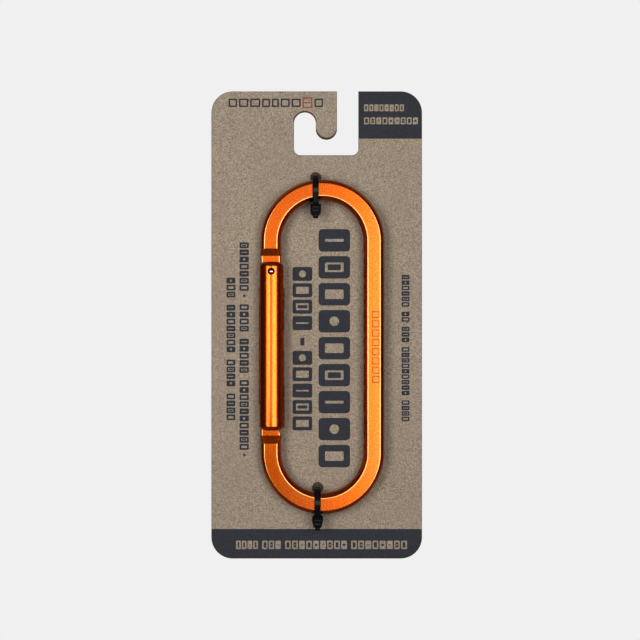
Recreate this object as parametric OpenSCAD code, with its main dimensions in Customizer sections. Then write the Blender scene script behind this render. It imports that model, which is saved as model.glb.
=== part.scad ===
// Oval snap carabiner held on a die-cut hang card by two small cable ties.
// Millimetres. The origin is the centre of the peg notch's rounded top, halfway through the card.
// +Z is up as the card hangs, the printed face looks along -Y, +X is to the right of that face.

/* [Hang card] */
// Width of the card
card_w = 89; // [80:0.5:100]
// Height of the card
card_h = 197.5; // [190:0.5:230]
// Thickness of the board
card_t = 0.6; // [0.4:0.1:0.8]
// Radius of the card's four corners
card_corner_r = 9; // [4:0.5:12]

/* [Peg slot] */
// Centre of the notch, from the card's left edge
notch_from_left = 39.5; // [30:0.5:45]
// Centre of the notch's round top, below the card's top edge
notch_from_top = 13.5; // [11:0.5:18]
// Width of the notch that hangs on the peg
notch_w = 9.3; // [8:0.1:11]
// Width of the channel that opens at the top edge
entry_w = 9.1; // [8:0.1:11]
// Width of the tongue between the notch and the channel
tongue_w = 8.9; // [7:0.1:10]
// How far the tongue hangs below the notch's centre
tongue_drop = 6.9; // [5:0.1:8]
// Floor of the slot, below the notch's centre
slot_drop = 13.5; // [12.5:0.1:16]
// Radius of the two corners at the slot's floor
slot_corner_r = 2.8; // [1:0.1:4]

/* [Carabiner] */
// Overall length of the oval
clip_l = 140; // [130:1:150]
// Overall width of the oval
clip_w = 52; // [48:1:56]
// Diameter of the round bar
bar_d = 9; // [8:0.1:9.6]
// Thickness of the bar across its front and back flats
bar_t = 7.1; // [6:0.1:7.6]
// Centre of the oval, right of the card's centre line
clip_right = 2.4; // [-4:0.1:4]
// Centre of the oval, below the card's centre
clip_down = 9.1; // [5:0.1:12]
// Gap between the gate's back and the card
clip_gap = 0.1; // [0.05:0.05:1]

/* [Hinge tongue and nose] */
// Thickness of the flat tongues that enter the gate
blade_t = 4.7; // [4:0.1:5]
// Foot of the upper ramp, above the oval's centre
ramp_foot = 37.9; // [37.5:0.1:39]
// Height over which the upper ramp rises to the bar's flat
ramp_h = 3; // [1.5:0.1:4]
// Foot of the lower ramp, below the oval's centre
nose_root = 36.8; // [36:0.1:38]
// Height over which the lower ramp rises to the bar's flat
nose_ramp_h = 3.5; // [1.5:0.1:4]
// Where the nose starts to lean outwards, below the oval's centre
nose_lean_root = 38.1; // [37:0.1:39]
// Tip of the nose, below the oval's centre
nose_tip = 26.2; // [26:0.1:28]
// Width of the nose at its tip
nose_tip_w = 3.9; // [3:0.1:6]

/* [Gate] */
// Diameter of the gate
gate_d = 11; // [10.6:0.1:11.6]
// Gate's centre line, inwards of the bar's
gate_in = 0.3; // [0:0.1:0.5]
// Top end of the gate, above the oval's centre
gate_top = 35.4; // [34.8:0.1:35.8]
// Bottom end of the gate, below the oval's centre
gate_foot = 34.7; // [33:0.1:35.5]
// Radius of the gate's rounded ends
gate_round = 2; // [0.5:0.1:2]
// Width of the gate's two slots
slot_t = 4.9; // [4.9:0.05:5.2]
// Bottom of the hinge slot, above the oval's centre
fork_floor = 24.6; // [24:0.1:25]
// Depth of the latch slot's floor past the gate's centre line
latch_depth = 3.6; // [3.5:0.1:4.2]
// Number of grip grooves on the gate's inner side
groove_count = 30; // [10:1:34]
// Spacing of the grip grooves
groove_pitch = 1.05; // [0.9:0.05:1.2]
// Depth of the grip grooves
groove_depth = 0.4; // [0.2:0.05:0.5]

/* [Hinge pin] */
// Diameter of the pin
pin_d = 3; // [2.5:0.1:3.2]
// Height of the pin above the oval's centre
pin_up = 31.4; // [31.2:0.1:31.8]
// How far each end of the pin lies below the gate's surface
pin_recess = 0.5; // [0.2:0.1:0.8]
// Radial clearance of the pin in the hinge tongue
pin_clearance = 0.05; // [0.02:0.01:0.1]

/* [Plunger and spring] */
// Diameter of the plunger
plunger_d = 4; // [3:0.1:4.2]
// Length of the plunger
plunger_l = 10; // [6:0.5:12]
// Radial clearance of the plunger in the gate's bore
plunger_clearance = 0.08; // [0.05:0.01:0.1]
// Length of the spring with the gate shut
spring_l = 22; // [15:0.5:24]
// Outer diameter of the spring
spring_d = 3.8; // [2.6:0.1:4]
// Diameter of the spring wire
wire_d = 0.45; // [0.3:0.05:0.6]
// Number of turns in the spring
spring_turns = 16; // [10:1:20]

/* [Cable ties] */
// Width of the strap
strap_w = 2.5; // [2:0.1:3]
// Thickness of the strap
strap_t = 1; // [0.8:0.1:1.2]
// Width of the head
head_w = 4.5; // [4:0.1:5]
// Width of the head's lower end, where the tail comes out
head_foot_w = 3.3; // [3:0.1:4]
// Height of the head, along its window
head_h = 4.4; // [4:0.1:5]
// Length of the head, from front to back
head_l = 4.6; // [4:0.1:5]
// Length of the cut tail that stands out of the head
tail_l = 1.4; // [0.5:0.1:4]
// Diameter of the holes in the card
tie_hole_d = 3.4; // [3.2:0.1:5]
// Upper tie, right of the peg notch's centre
upper_tie_x = 4.6; // [3:0.1:8]
// Lower tie, right of the peg notch's centre
lower_tie_x = 5.4; // [3:0.1:9]
// Space between the bar and the upper tie's head
upper_head_gap = 1.7; // [1:0.1:3]
// Space between the bar and the lower tie's head
lower_head_gap = 0.5; // [0.3:0.1:3]

/* [Hidden] */
$fn = 64;
eps = 0.02;          // play between parts that only touch
over = 1;            // how far a cutting shape runs past what it cuts

kraft = [0.60, 0.54, 0.47];
orange = [0.96, 0.44, 0.08];
steel = [0.75, 0.75, 0.76];
black = [0.07, 0.07, 0.08];

// Card, seen from its printed face, from the origin
card_left = -notch_from_left;
card_right = card_left + card_w;
card_top = notch_from_top;
card_foot = card_top - card_h;
notch_r = notch_w / 2;
tongue_mid = notch_r + tongue_w / 2;
tongue_right = notch_r + tongue_w;

// Oval
bar_r = bar_d / 2;
arc_r = clip_w / 2 - bar_r;
arc_up = clip_l / 2 - clip_w / 2;
clip_x = (card_left + card_right) / 2 + clip_right;
clip_y = -(card_t / 2 + clip_gap + gate_d / 2);
clip_z = (card_top + card_foot) / 2 - clip_down;

// Gate and what it holds, from the oval's centre
gate_x = gate_in - arc_r;
gate_r = gate_d / 2;
spring_top = 17;
tongue_end = spring_top + plunger_l + eps;
bore_floor = spring_top - eps - spring_l;
bore_r = plunger_d / 2 + plunger_clearance;
plunger_chamfer = 0.3;
pin_chamfer = 0.35;
latch_top = -nose_tip + 0.5;
latch_rise = 2.2;
groove_top = 14.7;
pin_l = gate_d - 2 * pin_recess;

// Coil of the spring: one closed turn at each end and even turns between them
coil_h = spring_l - 2 * eps - wire_d;
closed_pitch = 1.15 * wire_d;
open_pitch = (coil_h - 2 * closed_pitch) / (spring_turns - 2);

// Ties: the bar's centre at the oval's two ends, and the strap's way round it
upper_bar_z = clip_z + clip_l / 2 - bar_r;
lower_bar_z = clip_z - clip_l / 2 + bar_r;
top_gap = 0.9;
front_gap = 0.05;
tie_hole_up = bar_r + top_gap + strap_t / 2;
strap_bend_r = 0.8;
head_front = 1.15;
head_taper = 0.6;    // share of the head's height over which it narrows
tail_w = 2.2;

// Where a tie lies across the card, given the bar that it holds
function tie_x(bar_z) = bar_z == upper_bar_z ? upper_tie_x : lower_tie_x;
// Space between that bar and the tie's head
function head_gap(bar_z) = bar_z == upper_bar_z ? upper_head_gap : lower_head_gap;
// Height of the strap where it leaves the head
function root_z(bar_z) = bar_z - bar_r - head_gap(bar_z) - head_h / 2;
// Height of the coil's centre line after t turns
function coil_z(t) = t < 1 ? closed_pitch * t
    : t > spring_turns - 1 ? coil_h - closed_pitch * (spring_turns - t)
    : closed_pitch + open_pitch * (t - 1);
// Point of an arc of radius r about [x, y]
function arc_point(x, y, r, a) = [x + r * cos(a), y + r * sin(a)];

// A flat rectangle with round corners, between two corners
module round_rect(low, high, r) {
    translate([low.x + r, low.y]) square([high.x - low.x - 2 * r, high.y - low.y]);
    translate([low.x, low.y + r]) square([high.x - low.x, high.y - low.y - 2 * r]);
    for (x = [low.x + r, high.x - r], y = [low.y + r, high.y - r])
        translate([x, y]) circle(r);
}

// Stands a flat outline drawn in X and Z upright, centred on the plane Y = 0
module upright(thickness) {
    rotate([90, 0, 0]) linear_extrude(thickness, center = true) children();
}

// Moves a shape from the oval's centre to its place in front of the card
module at_clip() {
    translate([clip_x, clip_y, clip_z]) children();
}

// J-shaped slot: a notch that hangs on the peg and a channel that lets the peg in from above
module peg_slot() {
    circle(notch_r);
    translate([-notch_r, -slot_drop + slot_corner_r]) square([notch_w, slot_drop - slot_corner_r]);
    translate([tongue_right, -slot_drop + slot_corner_r])
        square([entry_w, slot_drop - slot_corner_r + card_top + over]);
    difference() {
        round_rect([-notch_r, -slot_drop], [tongue_right + entry_w, 0], slot_corner_r);
        translate([notch_r, -tongue_drop + tongue_w / 2]) square([tongue_w, tongue_drop]);
        translate([tongue_mid, -tongue_drop + tongue_w / 2]) circle(tongue_w / 2);
    }
}

module hang_card() {
    color(kraft) upright(card_t) difference() {
        round_rect([card_left, card_foot], [card_right, card_top], card_corner_r);
        peg_slot();
        for (bar_z = [upper_bar_z, lower_bar_z])
            translate([tie_x(bar_z), bar_z + tie_hole_up]) circle(tie_hole_d / 2);
        for (bar_z = [upper_bar_z, lower_bar_z])
            translate([tie_x(bar_z), root_z(bar_z)]) circle(tie_hole_d / 2);
    }
}

// The closed oval of round bar, with its front and back flats
module oval_bar() {
    intersection() {
        union() {
            for (side = [-1, 1])
                translate([side * arc_r, 0, -arc_up]) cylinder(r = bar_r, h = 2 * arc_up);
            for (end = [0, 1])
                mirror([0, 0, end]) translate([0, 0, arc_up])
                    rotate([90, 0, 0]) rotate_extrude(angle = 180) translate([arc_r, 0]) circle(bar_r);
        }
        cube([clip_w + over, bar_t, clip_l + over], center = true);
    }
}

// Cuts one face of the bar down to the tongue's thickness, ending in a ramp that starts at height foot
module blade_cut(low, foot, rise) {
    rotate([90, 0, 90]) linear_extrude(bar_d + 2 * over, center = true)
        polygon([[blade_t / 2, low], [blade_t / 2, foot], [bar_t / 2, foot + rise],
                 [bar_t / 2 + over, foot + rise], [bar_t / 2 + over, low]]);
}

module carabiner_body() {
    color(orange) at_clip() difference() {
        oval_bar();
        // the gap that the gate closes
        translate([gate_x - bar_r - over, -bar_t, -nose_tip])
            cube([bar_d + 2 * over, 2 * bar_t, nose_tip + tongue_end]);
        // the flat hinge tongue above and the flat nose below
        for (face = [0, 1]) mirror([0, face, 0]) translate([gate_x, 0, 0]) {
            blade_cut(0, ramp_foot, ramp_h);
            mirror([0, 0, 1]) blade_cut(0, nose_root, nose_ramp_h);
        }
        // the nose leans away from the inside of the oval towards its tip
        translate([gate_x, 0, 0]) upright(2 * bar_t)
            polygon([[bar_r + over, -nose_lean_root], [bar_r, -nose_lean_root],
                     [-bar_r + nose_tip_w, -nose_tip - over], [-bar_r + nose_tip_w, 0], [bar_r + over, 0]]);
        // the bore that the hinge pin turns in
        translate([gate_x, 0, pin_up]) rotate([90, 0, 0])
            cylinder(r = pin_d / 2 + pin_clearance, h = 2 * bar_t, center = true);
    }
}

// Turned blank of the gate, with rounded ends
module gate_blank() {
    inner = gate_r - gate_round;
    rotate_extrude() polygon(concat(
        [[0, -gate_foot]],
        [for (a = [-90:15:0]) arc_point(inner, -gate_foot + gate_round, gate_round, a)],
        [for (a = [0:15:90]) arc_point(inner, gate_top - gate_round, gate_round, a)],
        [[0, gate_top]]));
}

module gate() {
    color(orange) at_clip() translate([gate_x, 0, 0]) difference() {
        gate_blank();
        // hinge slot, open on both sides
        translate([-gate_d, -slot_t / 2, fork_floor]) cube([2 * gate_d, slot_t, gate_top]);
        // latch slot, open outwards and below
        upright(slot_t)
            polygon([[-gate_r - over, latch_top + latch_rise], [latch_depth, latch_top],
                     [latch_depth, -gate_foot - over], [-gate_r - over, -gate_foot - over]]);
        // bore for the plunger and spring
        translate([0, 0, bore_floor]) cylinder(r = bore_r, h = gate_top);
        // seat of the hinge pin
        translate([0, 0, pin_up]) rotate([90, 0, 0])
            cylinder(r = pin_d / 2, h = gate_d + over, center = true);
        // grip grooves on the side that faces the inside of the oval
        for (i = [0:groove_count - 1])
            translate([gate_r, 0, groove_top - i * groove_pitch]) rotate([0, 45, 0])
                cube([groove_depth * sqrt(2), gate_d, groove_depth * sqrt(2)], center = true);
    }
}

module hinge_pin() {
    r = pin_d / 2;
    color(steel) at_clip() translate([gate_x, 0, pin_up]) rotate([90, 0, 0]) rotate_extrude()
        polygon([[0, -pin_l / 2], [r - pin_chamfer, -pin_l / 2], [r, -pin_l / 2 + pin_chamfer],
                 [r, pin_l / 2 - pin_chamfer], [r - pin_chamfer, pin_l / 2], [0, pin_l / 2]]);
}

module plunger() {
    r = plunger_d / 2;
    color(steel) at_clip() translate([gate_x, 0, tongue_end - eps - plunger_l]) rotate_extrude()
        polygon([[0, 0], [r, 0], [r, plunger_l - plunger_chamfer],
                 [r - plunger_chamfer, plunger_l], [0, plunger_l]]);
}

module gate_spring() {
    coil_r = (spring_d - wire_d) / 2;
    steps = 16;
    sides = 6;
    rings = spring_turns * steps;
    points = [for (i = [0:rings], k = [0:sides - 1])
        let (turn = 360 * i / steps, side = 360 * k / sides, r = coil_r + wire_d / 2 * cos(side))
        [r * cos(turn), r * sin(turn), coil_z(i / steps) + wire_d / 2 * sin(side)]];
    walls = [for (i = [0:rings - 1], k = [0:sides - 1])
        let (n = (k + 1) % sides, a = i * sides)
        [a + k, a + sides + k, a + sides + n, a + n]];
    ends = [[for (k = [0:sides - 1]) k], [for (k = [sides - 1:-1:0]) rings * sides + k]];
    color(steel) at_clip() translate([gate_x, 0, bore_floor + eps + wire_d / 2])
        polyhedron(points, concat(walls, ends), convexity = 10);
}

// One tie: round the bar, through the card, behind it and back into its own head
module cable_tie(bar_z) {
    front = clip_y - bar_t / 2 - front_gap;
    back = card_t / 2 + front_gap;
    top = bar_z + bar_r + top_gap;
    root = root_z(bar_z);
    translate([tie_x(bar_z), 0, 0]) {
        rotate([90, 0, 90]) linear_extrude(strap_w, center = true) difference() {
            round_rect([front - strap_t, root - strap_t / 2], [back + strap_t, top + strap_t],
                       strap_bend_r + strap_t);
            round_rect([front, root + strap_t / 2], [back, top], strap_bend_r);
        }
        // the head, narrower towards its foot
        translate([0, front - strap_t - head_front + head_l / 2, root]) upright(head_l)
            polygon([[-head_w / 2, head_h / 2], [head_w / 2, head_h / 2],
                     [head_w / 2, (head_taper - 0.5) * head_h], [head_foot_w / 2, -head_h / 2],
                     [-head_foot_w / 2, -head_h / 2], [-head_w / 2, (head_taper - 0.5) * head_h]]);
        // the cut tail below the head
        translate([-tail_w / 2, front - strap_t, root - head_h / 2 - tail_l])
            cube([tail_w, strap_t, tail_l + over]);
    }
}

module upper_cable_tie() {
    color(black) cable_tie(upper_bar_z);
}

module lower_cable_tie() {
    color(black) cable_tie(lower_bar_z);
}

hang_card();
carabiner_body();
gate();
hinge_pin();
plunger();
gate_spring();
upper_cable_tie();
lower_cable_tie();
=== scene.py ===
import math

import bmesh
import bpy
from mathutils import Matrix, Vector


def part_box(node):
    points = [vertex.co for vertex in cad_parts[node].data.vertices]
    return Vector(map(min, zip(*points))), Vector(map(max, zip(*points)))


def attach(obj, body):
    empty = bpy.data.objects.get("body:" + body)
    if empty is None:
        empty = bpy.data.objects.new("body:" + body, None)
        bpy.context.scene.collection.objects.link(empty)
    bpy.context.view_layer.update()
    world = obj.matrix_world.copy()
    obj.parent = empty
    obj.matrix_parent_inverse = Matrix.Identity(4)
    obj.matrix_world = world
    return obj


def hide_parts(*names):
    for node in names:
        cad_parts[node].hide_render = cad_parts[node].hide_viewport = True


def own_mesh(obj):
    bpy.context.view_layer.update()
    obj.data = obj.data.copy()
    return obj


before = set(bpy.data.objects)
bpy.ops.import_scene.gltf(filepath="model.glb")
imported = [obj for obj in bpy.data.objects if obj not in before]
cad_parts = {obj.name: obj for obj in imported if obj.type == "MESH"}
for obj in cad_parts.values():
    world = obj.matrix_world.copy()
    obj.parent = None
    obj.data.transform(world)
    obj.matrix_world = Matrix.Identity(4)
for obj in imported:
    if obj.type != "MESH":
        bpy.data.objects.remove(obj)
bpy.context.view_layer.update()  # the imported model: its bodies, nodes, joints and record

# An orange oval snap carabiner held on a die-cut kraft hang card by two small black cable ties.
# Shapes are worked out in millimetres in the CAD frame. add_mesh() and add_plates() turn them into metres.
# The printed face of the card looks along -Y, and +Z is up.

MM = 0.001


# ---------------------------------------------------------------- places taken from the CAD frame

def cad_box(node):
    """Lowest and highest corner of a CAD node, in millimetres."""
    low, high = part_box(node)
    return low / MM, high / MM


card_low, card_high = cad_box("hang_card")
clip_low, clip_high = cad_box("carabiner_body")
gate_low, gate_high = cad_box("gate")
pin_low, pin_high = cad_box("hinge_pin")
plunger_low, plunger_high = cad_box("plunger")
spring_low, spring_high = cad_box("gate_spring")

CARD_FRONT = card_low.y
CARD_BACK = card_high.y
CARD_CORNER = 9.0

# Bar of the carabiner
BAR_R = 4.5
BAR_HALF = (clip_high.y - clip_low.y) / 2
BLADE_HALF = 2.35
BAR_EDGE = 0.7
BLADE_EDGE = 0.5
RUB_IN = 0.25
clip = (clip_low + clip_high) / 2
ARC_R = (clip_high.x - clip_low.x) / 2 - BAR_R
ARC_UP = (clip_high.z - clip_low.z) / 2 - ARC_R - BAR_R
RAMP_FOOT = 37.9
RAMP_H = 3.0
NOSE_ROOT = 36.8
NOSE_RAMP_H = 3.5
NOSE_LEAN_ROOT = 38.1
NOSE_TIP = 26.2
NOSE_TIP_W = 3.9
NOSE_BEVEL = 0.45
TONGUE_END = plunger_high.z + 0.02 - clip.z

# Gate and what it holds
pin = (pin_low + pin_high) / 2
GATE_R = (gate_high.y - gate_low.y) / 2
PIN_R = (pin_high.z - pin_low.z) / 2
PLUNGER_R = (plunger_high.x - plunger_low.x) / 2

# Cable ties
STRAP_W = 2.5
STRAP_T = 1.0
HEAD_H = 4.4
HEAD_W = 4.5
HEAD_FOOT_W = 3.3
HEAD_L = 4.6
TAIL_L = 1.4
TAIL_W = 2.2
LOCK_W = 2.7
LEDGE_H = 0.19


class Tie:
    """Where one cable tie lies, read from its CAD box."""

    def __init__(self, node, bar_z):
        low, high = cad_box(node)
        self.node = node
        self.x = (low.x + high.x) / 2
        self.front = low.y
        self.back = high.y
        self.bar = bar_z
        self.top = high.z - STRAP_T / 2
        self.foot = low.z
        self.root = low.z + TAIL_L + HEAD_H / 2


ties = [Tie("upper_cable_tie", clip_high.z - BAR_R), Tie("lower_cable_tie", clip_low.z + BAR_R)]


# ---------------------------------------------------------------- outlines and meshes

def arc(x, z, r, start, end, steps):
    """Points of an arc about (x, z), from one angle in degrees to another."""
    angles = [math.radians(start + (end - start) * i / steps) for i in range(steps + 1)]
    return [(x + r * math.cos(a), z + r * math.sin(a)) for a in angles]


def round_box(low_x, low_z, high_x, high_z, r, steps=6):
    """Anticlockwise outline of a rectangle with round corners."""
    return (arc(low_x + r, low_z + r, r, 180, 270, steps) + arc(high_x - r, low_z + r, r, 270, 360, steps)
            + arc(high_x - r, high_z - r, r, 0, 90, steps) + arc(low_x + r, high_z - r, r, 90, 180, steps))


def inset(loop, depth):
    """An anticlockwise outline moved inwards by depth: one number, or a list with one for each point."""
    depths = depth if isinstance(depth, list) else [depth] * len(loop)
    moved = []
    for i, (here, move) in enumerate(zip(loop, depths)):
        before, after = Vector(loop[i - 1]), Vector(loop[(i + 1) % len(loop)])
        arriving = (Vector(here) - before).normalized()
        leaving = (after - Vector(here)).normalized()
        normal = Vector((-arriving.y - leaving.y, arriving.x + leaving.x))
        normal *= move / max(0.2, normal.dot(Vector((-arriving.y, arriving.x))))
        moved.append((here[0] + normal.x, here[1] + normal.y))
    return moved


def skin(rings):
    """Points and faces of a surface over rings of equal length, with a cap at each end."""
    count = len(rings[0])
    points = [p for ring in rings for p in ring]
    faces = []
    for i in range(len(rings) - 1):
        a, b = i * count, (i + 1) * count
        faces += [(a + k, a + (k + 1) % count, b + (k + 1) % count, b + k) for k in range(count)]
    faces += [tuple(range(count))[::-1], tuple(range(len(points) - count, len(points)))]
    return points, faces


def turned(profile, centre, sides, axis="z"):
    """Rings of a turned part: profile is (radius, height) pairs along the axis from the centre."""
    rings = []
    for r, h in profile:
        circle = [(r * math.cos(2 * math.pi * k / sides), r * math.sin(2 * math.pi * k / sides))
                  for k in range(sides)]
        if axis == "z":
            rings.append([(centre[0] + a, centre[1] + b, centre[2] + h) for a, b in circle])
        else:
            rings.append([(centre[0] + a, centre[1] + h, centre[2] + b) for a, b in circle])
    return rings


def prism(outline, low_y, high_y):
    """Rings of a flat outline in X and Z, extruded along Y."""
    return [[(x, y, z) for x, z in outline] for y in (low_y, high_y)]


def block(low, high):
    """Rings of a plain box, used only as a cutter."""
    return prism([(low[0], low[2]), (high[0], low[2]), (high[0], high[2]), (low[0], high[2])],
                 low[1], high[1])


def add_mesh(name, points, faces):
    """A Blender object in metres from points in millimetres, with its faces turned outwards."""
    mesh = bpy.data.meshes.new(name)
    mesh.from_pydata([Vector(p) * MM for p in points], [], faces)
    shape = bmesh.new()
    shape.from_mesh(mesh)
    bmesh.ops.recalc_face_normals(shape, faces=shape.faces)
    shape.to_mesh(mesh)
    shape.free()
    piece = bpy.data.objects.new(name, mesh)
    bpy.context.scene.collection.objects.link(piece)
    return piece


def stepped_wall(outline, rows):
    """Rings of one outline, moved inwards and set at a depth for each (inset, y) row."""
    return [(inset(outline, depth), y) for depth, y in rows]


def add_plates(name, shapes):
    """Closed plates in one object. A shape is (rings, holes): rings run from the front to the back of
    its outer wall as (outline, y) pairs, and holes is a list of the same for each opening."""
    shape = bmesh.new()
    for outer, holes in shapes:
        fronts, backs = [], []
        for wall in [outer] + holes:
            rings = [[shape.verts.new((x * MM, y * MM, z * MM)) for x, z in outline] for outline, y in wall]
            count = len(rings[0])
            for a, b in zip(rings, rings[1:]):
                for k in range(count):
                    n = (k + 1) % count
                    shape.faces.new((a[k], a[n], b[n], b[k]))
            for ring, edges in ((rings[0], fronts), (rings[-1], backs)):
                edges += [shape.edges.get((ring[k], ring[(k + 1) % count])) for k in range(count)]
        for edges in (fronts, backs):
            bmesh.ops.triangle_fill(shape, edges=edges, use_beauty=True, normal=(0, -1, 0))
    bmesh.ops.recalc_face_normals(shape, faces=shape.faces)
    mesh = bpy.data.meshes.new(name)
    shape.to_mesh(mesh)
    shape.free()
    piece = bpy.data.objects.new(name, mesh)
    bpy.context.scene.collection.objects.link(piece)
    return piece


def bake(piece):
    """Applies a piece's modifiers to its mesh."""
    view = bpy.context.evaluated_depsgraph_get()
    view.update()
    made = bpy.data.meshes.new_from_object(piece.evaluated_get(view), depsgraph=view)
    piece.modifiers.clear()
    piece.data = made
    piece.data.name = piece.name


def cut(piece, *cutters):
    """Takes closed rings out of a piece."""
    shapes = [add_mesh("cutter", *skin(rings)) for rings in cutters]
    for shape in shapes:
        step = piece.modifiers.new("cut", "BOOLEAN")
        step.operation = "DIFFERENCE"
        step.solver = "EXACT"
        step.object = shape
    bake(piece)
    for shape in shapes:
        bpy.data.objects.remove(shape)


def soften(piece, width, angle):
    """Rounds a piece's edges that are sharper than angle by a small width in millimetres."""
    step = piece.modifiers.new("edge", "BEVEL")
    step.width = width * MM
    step.segments = 2
    step.limit_method = "ANGLE"
    step.angle_limit = math.radians(angle)
    step.use_clamp_overlap = True
    bake(piece)


def smooth(piece, angle=28):
    """Smooth shading that keeps edges sharper than angle crisp and flats flat."""
    piece.data.polygons.foreach_set("use_smooth", [True] * len(piece.data.polygons))
    piece.data.set_sharp_from_angle(angle=math.radians(angle))
    step = piece.modifiers.new("normals", "WEIGHTED_NORMAL")
    step.keep_sharp = True
    bake(piece)


def place(piece, body, slot, *materials, nodes=()):
    """Gives a finished piece its materials, its body and the CAD nodes that it stands for."""
    piece.data.materials.clear()
    for material in materials:
        piece.data.materials.append(material)
    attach(piece, body)
    if nodes:
        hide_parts(*nodes)


# ---------------------------------------------------------------- materials

class Nodes:
    """Short calls for building one material's node tree."""

    def __init__(self, name):
        self.material = bpy.data.materials.new(name)
        self.material.use_nodes = True
        self.tree = self.material.node_tree
        self.shader = self.tree.nodes["Principled BSDF"]
        self.place = self.add("ShaderNodeTexCoord").outputs["Object"]

    def add(self, kind, **settings):
        node = self.tree.nodes.new(kind)
        for key, value in settings.items():
            setattr(node, key, value)
        return node

    def link(self, source, target):
        self.tree.links.new(source, target)

    def stretch(self, scale):
        """Object coordinates scaled by three factors."""
        node = self.add("ShaderNodeMapping")
        self.link(self.place, node.inputs["Vector"])
        node.inputs["Scale"].default_value = scale
        return node.outputs["Vector"]

    def noise(self, size, detail=2.0, scale=(1, 1, 1)):
        """Noise from 0 to 1 whose patches are about size millimetres across."""
        node = self.add("ShaderNodeTexNoise")
        self.link(self.stretch(scale), node.inputs["Vector"])
        node.inputs["Scale"].default_value = 1 / (size * MM)
        node.inputs["Detail"].default_value = detail
        node.inputs["Roughness"].default_value = 0.5
        return node.outputs["Fac"]

    def ramp(self, source, low, high, out_low=0.0, out_high=1.0):
        """Maps source from low..high to out_low..out_high, clamped."""
        node = self.add("ShaderNodeMapRange")
        self.link(source, node.inputs["Value"])
        for key, value in (("From Min", low), ("From Max", high), ("To Min", out_low), ("To Max", out_high)):
            node.inputs[key].default_value = value
        return node.outputs["Result"]

    def mix(self, share, one, two):
        """Colour between one and two; each is a colour or a socket."""
        node = self.add("ShaderNodeMix", data_type="RGBA")
        sockets = [s for s in node.inputs if s.type == "RGBA"]
        for socket, value in ((node.inputs["Factor"], share), (sockets[0], one), (sockets[1], two)):
            if isinstance(value, bpy.types.NodeSocket):
                self.link(value, socket)
            else:
                socket.default_value = value
        return [s for s in node.outputs if s.type == "RGBA"][0]

    def bump(self, height, depth, strength=1.0):
        """Surface relief, depth millimetres deep."""
        node = self.add("ShaderNodeBump")
        node.inputs["Distance"].default_value = depth * MM
        node.inputs["Strength"].default_value = strength
        self.link(height, node.inputs["Height"])
        self.link(node.outputs["Normal"], self.shader.inputs["Normal"])

    def set(self, **values):
        """Sets shader inputs by name, with underscores for spaces; a value may be a socket."""
        for key, value in values.items():
            socket = self.shader.inputs[key.replace("_", " ")]
            if isinstance(value, bpy.types.NodeSocket):
                self.link(value, socket)
            else:
                socket.default_value = value
        return self.material


def tone(red, green, blue):
    """A colour given as 0-255 sRGB values, as the linear colour that Blender uses."""
    def linear(v):
        v /= 255
        return v / 12.92 if v <= 0.04045 else ((v + 0.055) / 1.055) ** 2.4
    return (linear(red), linear(green), linear(blue), 1.0)


def kraft_board():
    """Unbleached board: fine fibre grain over soft mottling, and a few dark specks."""
    n = Nodes("kraft_board")
    cloud = n.ramp(n.noise(1.6, 2), 0.36, 0.64)
    colour = n.mix(cloud, tone(134, 122, 107), tone(143, 132, 118))
    fibre = n.ramp(n.noise(0.46, 1, (1, 1, 1.2)), 0.36, 0.64)
    colour = n.mix(0.6, colour, n.mix(fibre, tone(108, 97, 84), tone(168, 157, 143)))
    wide = n.ramp(n.noise(22, 1), 0.3, 0.7, 0.0, 0.35)
    colour = n.mix(wide, colour, tone(132, 121, 108))
    speck = n.ramp(n.noise(0.9, 1), 0.245, 0.215)
    colour = n.mix(speck, colour, tone(75, 64, 52))
    n.bump(n.noise(0.35, 3, (1, 1, 2)), 0.02, 0.6)
    return n.set(Base_Color=colour, Roughness=0.9, Specular_IOR_Level=0.1)


def shaded_cut_board():
    """Die-cut edge of the board: darker, partly its own cut colour and partly painted shade, with its plies
    showing as thin lines.
    """
    n = Nodes("shaded_cut_board")
    ply = n.ramp(n.noise(0.12, 2, (0.1, 1, 0.1)), 0.35, 0.65)
    colour = n.mix(ply, tone(59, 44, 32), tone(85, 69, 54))
    n.bump(n.noise(0.1, 2), 0.03)
    return n.set(Base_Color=colour, Roughness=0.95)


def crushed_shaded_board():
    """Board pressed around a punched hole and painted dark: partly burnished board, partly painted shade
    inside the hole.
    """
    n = Nodes("crushed_shaded_board")
    colour = n.mix(n.noise(0.4, 3), tone(47, 39, 31), tone(88, 77, 64))
    n.bump(n.noise(0.25, 2), 0.03)
    return n.set(Base_Color=colour, Roughness=0.85)


def print_ink():
    """Slate printing ink with the board's grain faintly through it."""
    n = Nodes("print_ink")
    grain = n.ramp(n.noise(0.45, 3), 0.34, 0.66)
    colour = n.mix(grain, tone(49, 51, 57), tone(60, 62, 66))
    colour = n.mix(n.ramp(n.noise(0.35, 2), 0.26, 0.18), colour, tone(103, 96, 91))
    n.bump(n.noise(0.35, 3, (1, 1, 2)), 0.01, 0.5)
    return n.set(Base_Color=colour, Roughness=0.8, Specular_IOR_Level=0.15)


def accent_ink():
    """Dull red printing ink."""
    n = Nodes("accent_ink")
    grain = n.ramp(n.noise(0.4, 3), 0.34, 0.66)
    colour = n.mix(grain, tone(119, 60, 56), tone(138, 77, 68))
    return n.set(Base_Color=colour, Roughness=0.75)


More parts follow.
